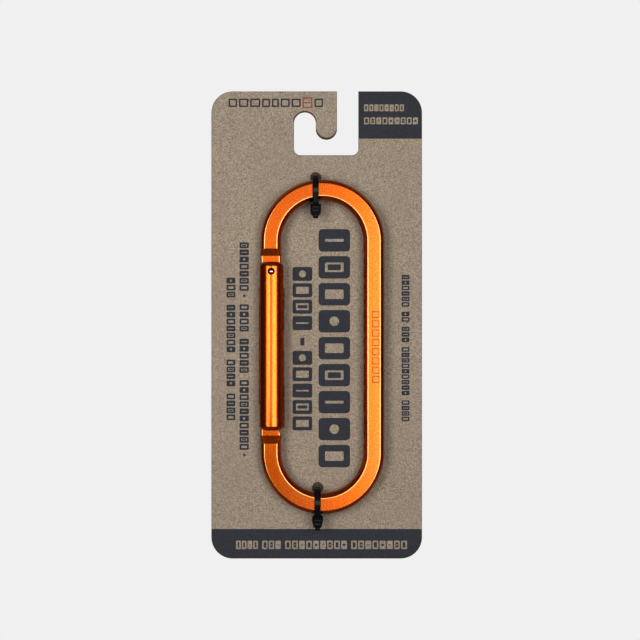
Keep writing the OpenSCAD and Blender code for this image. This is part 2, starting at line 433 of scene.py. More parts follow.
def anodised_orange():
    """Satin orange anodising over blasted aluminium, with a painted highlight along the corners beside the
    flats: pale cream and less metallic.
    """
    n = Nodes("anodised_orange")
    grain = n.noise(0.44, 2)
    patch = n.noise(0.7, 2)
    colour = n.mix(n.ramp(patch, 0.3, 0.7), (0.48, 0.093, 0.001, 1), (0.49, 0.107, 0.001, 1))
    colour = n.mix(n.ramp(n.noise(6, 2), 0.35, 0.65, 0.0, 0.25), colour, (0.50, 0.095, 0.003, 1))
    frost = n.ramp(n.noise(0.5, 1), 0.40, 0.62, 0.0, 0.5)
    colour = n.mix(frost, colour, (0.60, 0.166, 0.005, 1))
    # painted highlight: where the edge attribute is high, the colour turns pale cream and the metal less
    # metallic
    painted_highlight = n.add("ShaderNodeAttribute", attribute_name="edge_highlight").outputs["Fac"]
    colour = n.mix(painted_highlight, colour, (0.66, 0.44, 0.16, 1))
    n.bump(grain, 0.026, 0.5)
    return n.set(Base_Color=colour, Metallic=n.ramp(painted_highlight, 0.0, 1.0, 1.0, 0.15),
                 Roughness=n.ramp(grain, 0.3, 0.7, 0.22, 0.27), Coat_Weight=0.5, Coat_Roughness=0.10)


def engraved_orange():
    """Laser-marked anodising: matt and a little darker."""
    n = Nodes("engraved_orange")
    grain = n.noise(0.12, 2)
    colour = n.mix(grain, (0.17, 0.055, 0.012, 1), (0.21, 0.075, 0.018, 1))
    n.bump(grain, 0.02, 0.6)
    return n.set(Base_Color=colour, Metallic=0.4, Roughness=0.6)


def turned_steel():
    """Steel with fine turning marks."""
    n = Nodes("turned_steel")
    grain = n.noise(0.15, 3, (1, 0.2, 1))
    colour = n.mix(grain, (0.26, 0.26, 0.28, 1), (0.36, 0.36, 0.38, 1))
    n.bump(grain, 0.004, 0.5)
    return n.set(Base_Color=colour, Metallic=1.0, Roughness=n.ramp(grain, 0.3, 0.7, 0.10, 0.17))


def spring_steel():
    """Drawn wire, slightly blued."""
    n = Nodes("spring_steel")
    grain = n.noise(0.2, 2)
    colour = n.mix(grain, (0.28, 0.28, 0.30, 1), (0.45, 0.45, 0.46, 1))
    return n.set(Base_Color=colour, Metallic=1.0, Roughness=n.ramp(grain, 0.3, 0.7, 0.2, 0.35))


def black_nylon():
    """Moulded black nylon with a faint pebble."""
    n = Nodes("black_nylon")
    grain = n.noise(0.25, 2)
    colour = n.mix(grain, (0.003, 0.003, 0.004, 1), (0.007, 0.007, 0.009, 1))
    n.bump(grain, 0.01, 0.3)
    return n.set(Base_Color=colour, Roughness=n.ramp(grain, 0.3, 0.7, 0.19, 0.26), Specular_IOR_Level=0.22,
                 Specular_Tint=(0.84, 0.92, 1.0, 1))


def ledge_highlight_nylon():
    """The nylon of a raised ledge, painted a lighter grey as a highlight, and rougher."""
    n = Nodes("ledge_highlight_nylon")
    grain = n.noise(0.2, 2)
    colour = n.mix(grain, (0.008, 0.009, 0.011, 1), (0.014, 0.015, 0.018, 1))
    n.bump(grain, 0.012, 0.4)
    return n.set(Base_Color=colour, Roughness=n.ramp(grain, 0.3, 0.7, 0.42, 0.5), Specular_IOR_Level=0.3,
                 Specular_Tint=(0.86, 0.90, 1.0, 1))


def dull_nylon():
    """The same nylon as it leaves a worn mould: nearly matt."""
    n = Nodes("dull_nylon")
    grain = n.noise(0.25, 2)
    colour = n.mix(grain, (0.003, 0.003, 0.003, 1), (0.006, 0.006, 0.006, 1))
    n.bump(grain, 0.01, 0.3)
    return n.set(Base_Color=colour, Roughness=n.ramp(grain, 0.3, 0.7, 0.38, 0.46), Specular_IOR_Level=0.05)


kraft = kraft_board()
shaded_cut_edge = shaded_cut_board()
crushed_and_shaded = crushed_shaded_board()
ink = print_ink()
red_ink = accent_ink()
orange = anodised_orange()
engraved = engraved_orange()
steel = turned_steel()
wire_steel = spring_steel()
nylon = black_nylon()
dull = dull_nylon()
ledge_highlight = ledge_highlight_nylon()


# ---------------------------------------------------------------- hang card

NOTCH_R = 4.65
SLOT_CORNER = 2.8
SLOT_FLOOR = -13.5
TONGUE_R = 4.45
TONGUE_X = NOTCH_R + TONGUE_R
TONGUE_Z = -2.45
ENTRY_LEFT = NOTCH_R + 2 * TONGUE_R
ENTRY_RIGHT = ENTRY_LEFT + 9.1
PRESSED_R = 2.34
SLIT_HALF_W = 1.28
SLIT_HALF_H = 0.40
EDGE_ROUND = 0.15
TONGUE_RIM = 0.7
NOTCH_RIM = 0.45
FOOT_RIM = 0.3


def card_outline():
    """Anticlockwise outline of the card with its J-shaped peg slot, seen from the printed face."""
    left, right, foot, top = card_low.x, card_high.x, card_low.z, card_high.z
    r = CARD_CORNER
    return (arc(left + r, foot + r, r, 180, 270, 16) + arc(right - r, foot + r, r, 270, 360, 16)
            + arc(right - r, top - r, r, 0, 90, 16)
            + [(ENTRY_RIGHT, top)]
            + arc(ENTRY_RIGHT - SLOT_CORNER, SLOT_FLOOR + SLOT_CORNER, SLOT_CORNER, 0, -90, 10)
            + arc(-NOTCH_R + SLOT_CORNER, SLOT_FLOOR + SLOT_CORNER, SLOT_CORNER, -90, -180, 10)
            + arc(0, 0, NOTCH_R, 180, 0, 28)
            + arc(TONGUE_X, TONGUE_Z, TONGUE_R, 180, 360, 28)
            + [(ENTRY_LEFT, top)]
            + arc(left + r, top - r, r, 90, 180, 16))


def pressed_hole(x, z):
    """Rings of a hole punched from the printed side: a sunk ring, a dished lip, then a slit for the strap."""
    count = 48
    rings = []
    for r, y in ((PRESSED_R, CARD_FRONT), (2.26, CARD_FRONT + 0.04), (2.12, CARD_FRONT + 0.22),
                 (1.96, CARD_FRONT + 0.24), (1.84, CARD_FRONT + 0.12), (1.70, CARD_FRONT + 0.13)):
        rings.append((arc(x, z, r, 0, 360 - 360 / count, count - 1), y))
    for grow, y in ((0.12, CARD_FRONT + 0.24), (0, CARD_FRONT + 0.34), (0, CARD_BACK)):
        slit = []
        for px, pz in arc(0, 0, 1, 0, 360 - 360 / count, count - 1):
            corner = (abs(px) ** 4 + abs(pz) ** 4) ** 0.25
            slit.append((x + px / corner * (SLIT_HALF_W + grow), z + pz / corner * (SLIT_HALF_H + grow)))
        rings.append((slit, y))
    return rings


def rim_width(x, z):
    """How far in from one point of the outline the die pressed the printed face back. The wider rims at the
    tongue's lower side, the notch's top and the card's foot show the darker cut edge as a line of painted
    shade.
    """
    if math.hypot(x - TONGUE_X, z - TONGUE_Z) < TONGUE_R + 0.01:
        return EDGE_ROUND + TONGUE_RIM * (max(0, TONGUE_Z - z) / TONGUE_R) ** 0.5
    if math.hypot(x, z) < NOTCH_R + 0.01:
        return EDGE_ROUND + NOTCH_RIM * (max(0, z) / NOTCH_R) ** 0.5
    return EDGE_ROUND + FOOT_RIM * max(0, card_low.z + CARD_CORNER - z) / CARD_CORNER


def make_card():
    """Die-cut board with a rounded front edge, crushed around the ties' holes."""
    edge = EDGE_ROUND
    outline = card_outline()
    rim = [rim_width(x, z) for x, z in outline]
    rows = [(rim, CARD_FRONT), ([0.35 * w for w in rim], CARD_FRONT + edge * 0.6),
            (0, CARD_FRONT + edge * 1.6), (0, CARD_BACK - edge / 2), (edge / 2, CARD_BACK)]
    centres = [(tie.x, z) for tie in ties for z in (tie.top, tie.root)]
    holes = [pressed_hole(x, z) for x, z in centres]
    card = add_plates("kraft_hang_card", [(stepped_wall(outline, rows), holes)])
    smooth(card, 35)
    place(card, "carded_body", "kraft_board", kraft, shaded_cut_edge, crushed_and_shaded, nodes=["hang_card"])
    # crushed board inside the holes, darkened as painted shade, and the cut edge, partly painted shade,
    # wherever else a face doesn't lie flat
    for face in card.data.polygons:
        at = face.center / MM
        from_hole = min(math.hypot(at.x - x, at.z - z) for x, z in centres)
        if from_hole < PRESSED_R and abs(at.y - CARD_BACK) > 0.02:
            face.material_index = 2
        elif abs(face.normal.y) < 0.9995:
            face.material_index = 1


# ---------------------------------------------------------------- print on the card

INK_H = 0.025
INK_IN = 0.02
INK_TRIM = 0.12
PANEL_FOOT = -6.5
BAND_TOP = -171.5
KINDS = ("ring", "core", "slot", "ring", "dot", "slot", "core", "ring", "dot")


def ink_wall(outline):
    """Rings of a thin layer of ink that stands a little proud of the board."""
    return [(outline, CARD_FRONT - INK_H), (outline, CARD_FRONT + INK_IN)]


def mark(kind, low_x, low_z, high_x, high_z, stroke):
    """One placeholder mark: the outline of a block, of the opening in it and of a core in that, or None."""
    r = min(stroke * 0.6, (high_x - low_x) / 2.2, (high_z - low_z) / 2.2)
    outer = round_box(low_x, low_z, high_x, high_z, r, 4)
    mid_x, mid_z = (low_x + high_x) / 2, (low_z + high_z) / 2
    if kind == "dot":
        hole_r = max(min(high_x - low_x, high_z - low_z) / 2 - stroke, stroke * 0.35)
        return outer, arc(mid_x, mid_z, hole_r, 0, 345, 23), None
    if kind == "slot":
        half = stroke * 0.22
        slot = round_box(low_x + stroke, mid_z - half, high_x - stroke, mid_z + half, half * 0.5, 2)
        return outer, slot, None
    hole = round_box(low_x + stroke, low_z + stroke, high_x - stroke, high_z - stroke, r * 0.3, 2)
    half = min(stroke * 0.45, (high_z - low_z) / 2 - stroke * 1.3)
    if kind == "ring" or half < 0.08:
        return outer, hole, None
    reach = (high_x - low_x) / 2 - stroke * 1.45
    return outer, hole, round_box(mid_x - reach, mid_z - half, mid_x + reach, mid_z + half, half * 0.3, 2)


def printed(marks):
    """Plates of marks printed in ink."""
    shapes = [(ink_wall(outline), [ink_wall(hole)] if hole else []) for outline, hole, _ in marks]
    return shapes + [(ink_wall(core), []) for _, _, core in marks if core]


def knocked_out(panel, marks):
    """Plates of a solid panel with its marks left unprinted, as bare board."""
    islands = [(ink_wall(hole), [ink_wall(core)] if core else []) for _, hole, core in marks if hole]
    return [(ink_wall(panel), [ink_wall(outline) for outline, _, _ in marks])] + islands


def upward(low_x, high_x, start, words, pitch, gap, stroke, share=0.82, first=0):
    """Placeholder words that read upwards: words are mark counts, gap is the width of a space, share is
    how much of the pitch a mark fills, and first is where the row of kinds starts."""
    marks = []
    z = start
    for count in words:
        for _ in range(count):
            kind = KINDS[(len(marks) + first) % len(KINDS)]
            marks.append(mark(kind, low_x, z, high_x, z + pitch * share, stroke))
            z += pitch
        z += gap
    return marks


def across(low_x, low_z, high_x, high_z, count, stroke):
    """A placeholder word that reads across and fills a width exactly."""
    share = 0.84
    pitch = (high_x - low_x) / (count - 1 + share)
    return [mark(KINDS[i % len(KINDS)], low_x + i * pitch, low_z, low_x + (i + share) * pitch, high_z, stroke)
            for i in range(count)]


def print_piece(name, shapes, material=ink):
    """One piece of print, which rides with the board."""
    place(add_plates(name, shapes), "carded_body", "kraft_board", material)


def print_top_row():
    """Hollow marks with a small red one before the last."""
    foot, top, gap = 6.9, 10.4, 0.85
    x = -32.2
    row = []
    for width in (3.5, 3.9, 4.2, 3.3, 2.9, 3.7, 3.8):
        row.append(mark("ring", x, foot, x + width, top, 0.6))
        x += width + gap
    row.append(mark("ring", x + 5.0, foot, x + 8.6, top, 0.6))
    print_piece("ink_top_row", printed(row))
    accent = mark("core", x, foot - 0.5, x + 4.1, top + 0.6, 0.55)
    print_piece("ink_top_accent", printed([accent]), red_ink)


def print_corner_panel():
    """Dark panel in the top right corner with two lines left bare."""
    left, right, top = ENTRY_RIGHT + INK_TRIM, card_high.x - INK_TRIM, card_high.z - INK_TRIM
    r = CARD_CORNER - INK_TRIM
    panel = [(left, PANEL_FOOT), (right, PANEL_FOOT)] + arc(right - r, top - r, r, 0, 90, 16) + [(left, top)]
    lines = across(25.0, 5.05, 41.9, 8.0, 8, 0.62) + across(25.0, -0.45, 47.8, 2.5, 9, 0.62)
    print_piece("ink_corner_panel", knocked_out(panel, lines))


def print_foot_band():
    """Dark band along the lower edge with four words left bare."""
    left, right = card_low.x + INK_TRIM, card_high.x - INK_TRIM
    foot = card_low.z + INK_TRIM + FOOT_RIM
    r = CARD_CORNER - INK_TRIM
    band = (arc(left + r, foot + r, r, 180, 270, 16) + arc(right - r, foot + r, r, 270, 360, 16)
            + [(right, BAND_TOP), (left, BAND_TOP)])
    words = []
    for low_x, high_x, count in ((-29.1, -19.8, 4), (-18.1, -10.1, 3), (-8.4, 17.8, 9), (19.5, 43.2, 8)):
        words += across(low_x, -180.0, high_x, -176.4, count, 0.7)
    print_piece("ink_foot_band", knocked_out(band, words))


def print_left_lines():
    """Two lines that read up the left side, the inner one with a dot before each of its two parts."""
    outer = upward(-33.1, -29.4, -125.5, (4, 4, 7, 3), pitch=2.94, gap=2.6, stroke=0.72)
    print_piece("ink_left_outer", printed(outer))
    inner = [(arc(-25.6, z, 0.55, 0, 330, 11), None, None) for z in (-140.2, -72.9)]
    for start, words in ((-138.0, (10, 5, 4)), (-70.8, (7,))):
        inner += upward(-27.6, -23.7, start, words, pitch=3.0, gap=2.5, stroke=0.75)
    print_piece("ink_left_inner", printed(inner))


def print_heavy_lines():
    """Two heavy lines behind the clip, the first with a dash in it."""
    heavy = upward(-5.2, 3.1, -129.8, (5,), pitch=6.93, gap=0, stroke=1.45, share=0.85)
    heavy += upward(-5.2, 3.1, -87.4, (4,), pitch=6.93, gap=0, stroke=1.45, share=0.85, first=5)
    heavy.append((round_box(-1.9, -93.9, -0.2, -90.7, 0.2, 2), None, None))
    print_piece("ink_heavy_line", printed(heavy))
    big = upward(5.8, 19.1, -145.4, (9,), pitch=11.4, gap=0, stroke=2.7, share=0.83, first=3)
    print_piece("ink_big_line", printed(big))


def print_right_line():
    """One small line that reads up the right side."""
    line = upward(40.9, 44.2, -125.9, (4, 9, 3, 2, 6), pitch=2.3, gap=1.75, stroke=0.56)
    print_piece("ink_right_line", printed(line))


def make_print():
    """All the print, with plain marks in the place of lettering."""
    print_top_row()
    print_corner_panel()
    print_foot_band()
    print_left_lines()
    print_heavy_lines()
    print_right_line()


# ---------------------------------------------------------------- carabiner body

END_ROUND = 0.35
ENGRAVE_DEPTH = 0.06
ENGRAVE_X = 29.6
ENGRAVE_Z = -94.2
ENGRAVE_HALF = 16
ENGRAVE_FOOT = -109.3
ENGRAVE_PITCH = 3.85


def bar_section(half, edge, shrink=0.0):
    """Ring of (outward, depth) pairs: a round bar cut by two flats, its corners rounded by edge."""
    corner = math.sqrt((BAR_R - edge) ** 2 - (half - edge) ** 2)
    lean = math.degrees(math.atan2(half - edge, corner))
    quarter = [(corner * i / 3, half) for i in range(3)] + [(corner - RUB_IN, half)]
    quarter += arc(corner, half - edge, edge, 90, lean, 8)
    quarter += arc(0, 0, BAR_R, lean, 0, 10)[1:]
    ring = quarter + [(a, -b) for a, b in quarter[-2::-1]]
    ring += [(-a, -b) for a, b in quarter[1:]] + [(-a, b) for a, b in quarter[-2:0:-1]]
    return [(a * (1 - shrink / BAR_R), b * (1 - shrink / half)) for a, b in ring]


def bar_ring(height, turn, section):
    """The section placed at an angle round the oval; straight legs have turn 0 or 180."""
    a = math.radians(turn)
    ring = []
    for out, depth in section:
        reach = ARC_R + out
        ring.append((clip.x + reach * math.cos(a), clip.y + depth, clip.z + height + reach * math.sin(a)))
    return ring


def ramp_rings(foot, rise, way):
    """Rings along a ramp from the blade's thickness to the bar's, with a short step at each end."""
    rings = []
    for share in (0, 0.03, 0.97, 1):
        half = BLADE_HALF + share * (BAR_HALF - BLADE_HALF)
        edge = BLADE_EDGE + share * (BAR_EDGE - BLADE_EDGE)
        rings.append(bar_ring(way * (foot + share * rise), 180, bar_section(half, edge)))
    return rings


def nose_lean():
    """Outline of what is cut away inside the nose, so that it leans out to its narrower tip."""
    inner, tip_x = pin.x + BAR_R, pin.x - BAR_R + NOSE_TIP_W
    root, tip = clip.z - NOSE_LEAN_ROOT, clip.z - NOSE_TIP
    return [(inner + 1, root), (inner, root), (tip_x, tip - 1), (tip_x, tip + 1), (inner + 1, tip + 1)]


def make_clip():
    """The oval: one bar from the hinge tongue round to the nose, with its flats, ramps and pin bore."""
    full = bar_section(BAR_HALF, BAR_EDGE)
    blade = bar_section(BLADE_HALF, BLADE_EDGE)
    tip = bar_section(BLADE_HALF, BLADE_EDGE, END_ROUND)
    rings = [bar_ring(TONGUE_END, 180, tip), bar_ring(TONGUE_END + END_ROUND, 180, blade)]
    rings += ramp_rings(RAMP_FOOT, RAMP_H, 1)
    rings += [bar_ring(ARC_UP, turn, full) for turn in range(180, -1, -3)]
    rings += [bar_ring(-ARC_UP, turn, full) for turn in range(0, -181, -3)]
    rings += ramp_rings(NOSE_ROOT, NOSE_RAMP_H, -1)[::-1]
    rings += [bar_ring(-NOSE_TIP - END_ROUND, 180, blade), bar_ring(-NOSE_TIP, 180, tip)]
    body = add_mesh("carabiner_oval", *skin(rings))
    bore = turned([(PIN_R + 0.05, -8), (PIN_R + 0.05, 8)], (pin.x, clip.y, pin.z), 48, "y")
    cut(body, prism(nose_lean(), clip.y - 5, clip.y + 5), bore)
    soften(body, NOSE_BEVEL, 55)
    engrave(body)
    smooth(body, 20)
    # painted highlight along the corners beside the flats
    paint_edge_highlight(body)
    place(body, "carded_body", "anodised_orange", orange, engraved, nodes=["carabiner_body"])
    # the floors of the engraved marks
    for face in body.data.polygons:
        at = face.center / MM
        sunk = 0.005 < at.y - clip_low.y < ENGRAVE_DEPTH + 0.01
        if sunk and abs(at.x - ENGRAVE_X) < 1.6 and abs(at.z - ENGRAVE_Z) < ENGRAVE_HALF:
            face.material_index = 1


def edge_highlight_share(at, from_lean):
    """How strongly the painted highlight shows, 0 to 1, at a point from the oval's centre. The highlight is
    painted on the corners beside the flats, except on the ramps and on the outer side of the arcs."""
    past = max(0, abs(at.z) - ARC_UP)
    reach = math.hypot(at.x, past)
    foot, rise, half, edge = RAMP_FOOT, RAMP_H, BAR_HALF, BAR_EDGE
    if at.z < 0:
        foot, rise = NOSE_ROOT, NOSE_RAMP_H
    if at.x < 0 and abs(at.z) < foot + rise - 0.02:
        half, edge = BLADE_HALF, BLADE_EDGE
        if abs(at.z) > foot + 0.02:
            return 0
    deep = half - abs(at.y)
    # painted highlight on the softened corner along the nose's lean
    if at.x < 0 and -NOSE_LEAN_ROOT < at.z < -NOSE_TIP and 0.05 < from_lean / NOSE_BEVEL < 0.6:
        return 1 if 0.05 < deep / NOSE_BEVEL < 0.6 else 0
    # painted highlight on the corner beside the flat, fading out around the outer side of the arcs and weaker
    # on the right leg
    off = abs(abs(reach - ARC_R) - math.sqrt((BAR_R - edge) ** 2 - (half - edge) ** 2) + 0.02)
    share = max(0, min(1, 1.7 - off / 0.14)) if -0.001 < deep < edge / 2 else 0
    if reach > ARC_R:
        share *= max(0, 1 - math.degrees(math.atan2(past, abs(at.x))) / 50) * (0.55 if at.x > 0 else 1)
    return share


def paint_edge_highlight(piece):
    """Writes how strongly the painted highlight shows at each point, for the anodised finish to read."""
    layer = piece.data.attributes.new("edge_highlight", "FLOAT", "POINT")
    slope = (2 * BAR_R - NOSE_TIP_W) / (NOSE_LEAN_ROOT - NOSE_TIP - 1)
    for corner, painted_highlight in zip(piece.data.vertices, layer.data):
        at = corner.co / MM - clip
        lean_x = pin.x - clip.x + BAR_R - slope * (at.z + NOSE_LEAN_ROOT)
        painted_highlight.value = edge_highlight_share(at, lean_x - at.x)


def engrave(body):
    """A short row of plain marks engraved in the front flat of the closed leg."""
    front = clip_low.y
    strokes = ((-1.5, -1.15, 0, 2.9), (1.15, 1.5, 0, 2.9), (-1.15, 1.15, 0, 0.35), (-1.15, 1.15, 2.55, 2.9))
    marks = []
    for i in range(8):
        z = ENGRAVE_FOOT + i * ENGRAVE_PITCH
        for low_x, high_x, low_z, high_z in strokes:
            marks.append(block((ENGRAVE_X + low_x, front - 1, z + low_z),
                               (ENGRAVE_X + high_x, front + ENGRAVE_DEPTH, z + high_z)))
    cut(body, *marks)


# ---------------------------------------------------------------- gate, pin, plunger and spring

GROOVES = 30
GROOVE_PITCH = 1.05
GROOVE_DEPTH = 0.4
GROOVE_TOP = 14.7
GATE_ROUND = 2.0
FORK_FLOOR = 24.6
SLOT_HALF = 2.45
LATCH_DEPTH = 3.6


def gate_profile():
    """(radius, height from the oval's centre, groove depth) of the gate's blank, from foot to top."""
    foot, top = gate_low.z - clip.z, gate_high.z - clip.z
    inner = GATE_R - GATE_ROUND
    profile = [(r, z, 0) for r, z in arc(inner, foot + GATE_ROUND, GATE_ROUND, -90, 0, 10)]
    for i in reversed(range(GROOVES)):
        z = GROOVE_TOP - i * GROOVE_PITCH
        profile += [(GATE_R, z - GROOVE_DEPTH, 0), (GATE_R, z, GROOVE_DEPTH), (GATE_R, z + GROOVE_DEPTH, 0)]
    profile += [(GATE_R, GROOVE_TOP + 2, 0)]
    return profile + [(r, z, 0) for r, z in arc(inner, top - GATE_ROUND, GATE_ROUND, 0, 90, 10)]


def gate_slots():
    """Cutters for the fork slot that takes the tongue and the latch slot that takes the nose."""
    near, far = pin.x - GATE_R - 1, pin.x + GATE_R + 1
    front, back = clip.y - SLOT_HALF, clip.y + SLOT_HALF
    fork = block((near, front, clip.z + FORK_FLOOR), (far, back, gate_high.z + 1))
    foot, deep = gate_low.z - 1, pin.x + LATCH_DEPTH
    top = clip.z - NOSE_TIP + 0.5
    latch = prism([(near, foot), (deep, foot), (deep, top), (near, top + 2.2)], front, back)
    return fork, latch


def make_gate():
    """Round bar with grip grooves on its inner side, slotted at both ends and bored for the spring."""
    profile = gate_profile()
    rings = turned([(r, z) for r, z, _ in profile], (pin.x, clip.y, clip.z), 144)
    for ring, (_, _, depth) in zip(rings, profile):
        reach = pin.x + GATE_R - depth
        ring[:] = [(min(x, reach), y, z) for x, y, z in ring]
    body = add_mesh("gate_barrel", *skin(rings))
    bore_r, bore_foot = PLUNGER_R + 0.08, spring_low.z - 0.02 - clip.z
    bore = turned([(bore_r, bore_foot), (bore_r, FORK_FLOOR + 3)], (pin.x, clip.y, clip.z), 48)
    seat = turned([(PIN_R, -8), (PIN_R, 8)], (pin.x, clip.y, pin.z), 64, "y")
    cut(body, *gate_slots())
    cut(body, bore, seat)
    smooth(body, 24)
    place(body, "gate", "anodised_orange", orange, nodes=["gate"])


def make_pin():
    """Steel pin with domed ends that sit a little below the gate's surface."""
    half = (pin_high.y - pin_low.y) / 2
    ball = PIN_R / math.sin(math.radians(70))
    leans = [math.radians(a) for a in range(4, 71, 6)]
    dome = [(ball * math.sin(a), ball * math.cos(a) - ball) for a in leans]
    near = [(r, -half - h) for r, h in dome]
    far = [(r, half + h) for r, h in reversed(dome)]
    body = add_mesh("gate_hinge_pin", *skin(turned(near + far, (pin.x, clip.y, pin.z), 48, "y")))
    smooth(body, 40)
    place(body, "gate", "steel", steel, nodes=["hinge_pin"])


def make_plunger():
    """Steel plunger with a rounded upper edge, which bears on the hinge tongue."""
    low, high = plunger_low.z, plunger_high.z
    profile = [(PLUNGER_R - 0.2, low), (PLUNGER_R, low + 0.2), (PLUNGER_R, high - 0.5)]
    profile += [(PLUNGER_R - 0.5 + r, high - 0.5 + h) for r, h in arc(0, 0, 0.5, 15, 90, 5)]
    body = add_mesh("gate_plunger", *skin(turned(profile, (pin.x, clip.y, 0), 48)))
    smooth(body, 30)
    place(body, "plunger", "steel", steel, nodes=["plunger"])


SPRING_TURNS = 16
WIRE_R = 0.225


def make_spring():
    """Compression spring, with one closed turn at each end."""
    bottom, top = spring_low.z + WIRE_R, spring_high.z - WIRE_R
    coil_r = (spring_high.x - spring_low.x) / 2 - WIRE_R
    closed = 1.15 * 2 * WIRE_R
    open_pitch = (top - bottom - 2 * closed) / (SPRING_TURNS - 2)
    rings_a_turn, sides = 24, 12
    rings = []
    for i in range(SPRING_TURNS * rings_a_turn + 1):
        turn = i / rings_a_turn
        rise = closed * min(turn, 1) + open_pitch * min(max(turn - 1, 0), SPRING_TURNS - 2)
        rise += closed * max(turn - SPRING_TURNS + 1, 0)
        a = 2 * math.pi * turn
        ring = []
        for out, up in arc(0, 0, WIRE_R, 0, 360 - 360 / sides, sides - 1):
            reach = coil_r + out
            ring.append((pin.x + reach * math.cos(a), clip.y + reach * math.sin(a), bottom + rise + up))
        rings.append(ring)
    body = add_mesh("gate_coil_spring", *skin(rings))
    smooth(body, 50)
    place(body, "gate", "steel", wire_steel, nodes=["gate_spring"])
    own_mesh(body)


# ---------------------------------------------------------------- cable ties

OVER_BAR_R = 5.5
BEND_R = 0.9


def bezier(a, b, c, d, steps):
    """Points of a cubic curve from a to d, without its last point."""
    points = []
    for i in range(steps):
        t = i / steps
        s = 1 - t
        points.append(tuple(s ** 3 * p + 3 * s * s * t * q + 3 * s * t * t * u + t ** 3 * v
                            for p, q, u, v in zip(a, b, c, d)))
    return points


def strap_route(tie):
    """(depth, height) points of the strap: out of the head, over the bar, through the card and back."""
    apex = clip_low.y - STRAP_T / 2 - 0.5
    over = [(apex + OVER_BAR_R - y, z) for y, z in arc(0, tie.bar + 0.2, OVER_BAR_R, -20, 60, 20)]
    (first_y, first_z), (last_y, last_z) = over[0], over[-1]
    head_top = tie.root + HEAD_H / 2
    out_y, out_z = apex + (1.9 if tie.bar - head_top > 5.5 else 1.5), head_top - 1.0
    lean = (first_y - 0.3 * (first_y - out_y), first_z - 0.3 * (first_z - out_z))
    level_y = -5.4
    behind = tie.back - STRAP_T / 2
    turn_y = behind - BEND_R
    gap = tie.top - tie.root - 2 * BEND_R
    end = tie.front + HEAD_L - 1.0

    # out of the head and over the bar
    route = bezier((out_y, out_z), (out_y - 0.3, out_z + 1.2), lean, over[0], 8)
    route += over[:-1]
    # level through the upper hole
    route += bezier(over[-1], (last_y + 0.9, last_z + 0.5), (level_y - 1.2, tie.top), (level_y, tie.top), 6)
    route += [(level_y + i * (turn_y - level_y) / 8, tie.top) for i in range(8)]
    # down the back of the card
    route += arc(turn_y, tie.top - BEND_R, BEND_R, 90, 0, 6)
    route += [(behind, tie.top - BEND_R - gap * i / 24) for i in range(1, 24)]
    # forward through the lower hole, back into the head
    route += arc(turn_y, tie.root + BEND_R, BEND_R, 0, -90, 6)
    route += [(turn_y - i * (turn_y - end) / 10, tie.root) for i in range(1, 11)]
    return route


def strap_section(tooth):
    """(across, outward) ring: a crowned outer face with a shallow channel, and a toothed inner face."""
    half, t = STRAP_W / 2, STRAP_T / 2
    right = [(0.28, t - 0.14), (0.45, t - 0.02), (0.75, t), (half - 0.15, t - 0.12), (half, 0.22),
             (half, -0.1), (half - 0.2, -t + 0.06), (0.85, -t + 0.04), (0.8, -t + tooth)]
    left = [(-side, out) for side, out in reversed(right)]
    return left[3:] + right + left[:3]


def make_strap(tie, name):
    """The strap's loop, with a tooth on every other ring of its inner face."""
    route = strap_route(tie)
    rings = []
    for i, (y, z) in enumerate(route):
        before, after = route[max(i - 1, 0)], route[min(i + 1, len(route) - 1)]
        along = Vector((after[0] - before[0], after[1] - before[1])).normalized()
        out = Vector((-along.y, along.x))
        section = strap_section(0.02 if i % 2 else 0.16)
        rings.append([(tie.x + side, y + out.x * away, z + out.y * away) for side, away in section])
    strap = add_mesh(name, *skin(rings))
    smooth(strap, 40)
    place(strap, "carded_body", "black_nylon", nylon)


def head_ring(tie, height, half_w, front, back):
    """One level of the head: a round-cornered rectangle in X and Y."""
    outline = round_box(tie.x - half_w, front, tie.x + half_w, back, 0.35, 4)
    return [(x, y, height) for x, y in outline]


def make_head(tie, name):
    """The head: square above, tapered below, with a groove across it and a window at each end."""
    front, back = tie.front + LEDGE_H, tie.front + HEAD_L
    mid, half, foot = tie.root, HEAD_W / 2, HEAD_FOOT_W / 2
    levels = [(-2.2, foot - 0.3, front + 0.75, back - 0.4), (-1.95, foot - 0.05, front + 0.5, back - 0.1),
              (-0.95, foot + 0.20, front + 0.42, back), (-0.80, foot + 0.25, front + 0.12, back),
              (-0.10, half - 0.18, front + 0.02, back), (0.44, half, front, back), (0.95, half, front, back),
              (1.05, half, front + 0.22, back), (1.30, half, front + 0.22, back),
              (1.40, half, front + 0.05, back), (1.90, half, front + 0.05, back),
              (2.12, half - 0.12, front + 0.2, back - 0.1), (2.2, half - 0.3, front + 0.4, back - 0.25)]
    rings = [head_ring(tie, mid + h, w, f, b) for h, w, f, b in levels]
    head = add_mesh(name, *skin(rings))
    # the strap goes in at the upper window and its tail comes out at the lower one
    wide, narrow = STRAP_W / 2 + 0.22, STRAP_W / 2 + 0.07
    upper = block((tie.x - wide, front + 1.3, mid + 1.3), (tie.x + wide, front + 3.6, mid + 3))
    lower = block((tie.x - narrow, front + 0.98, mid - 3), (tie.x + narrow, front + 2.4, mid - 1.3))
    cut(head, upper, lower)
    smooth(head, 30)
    place(head, "carded_body", "black_nylon", dull, nodes=[tie.node])


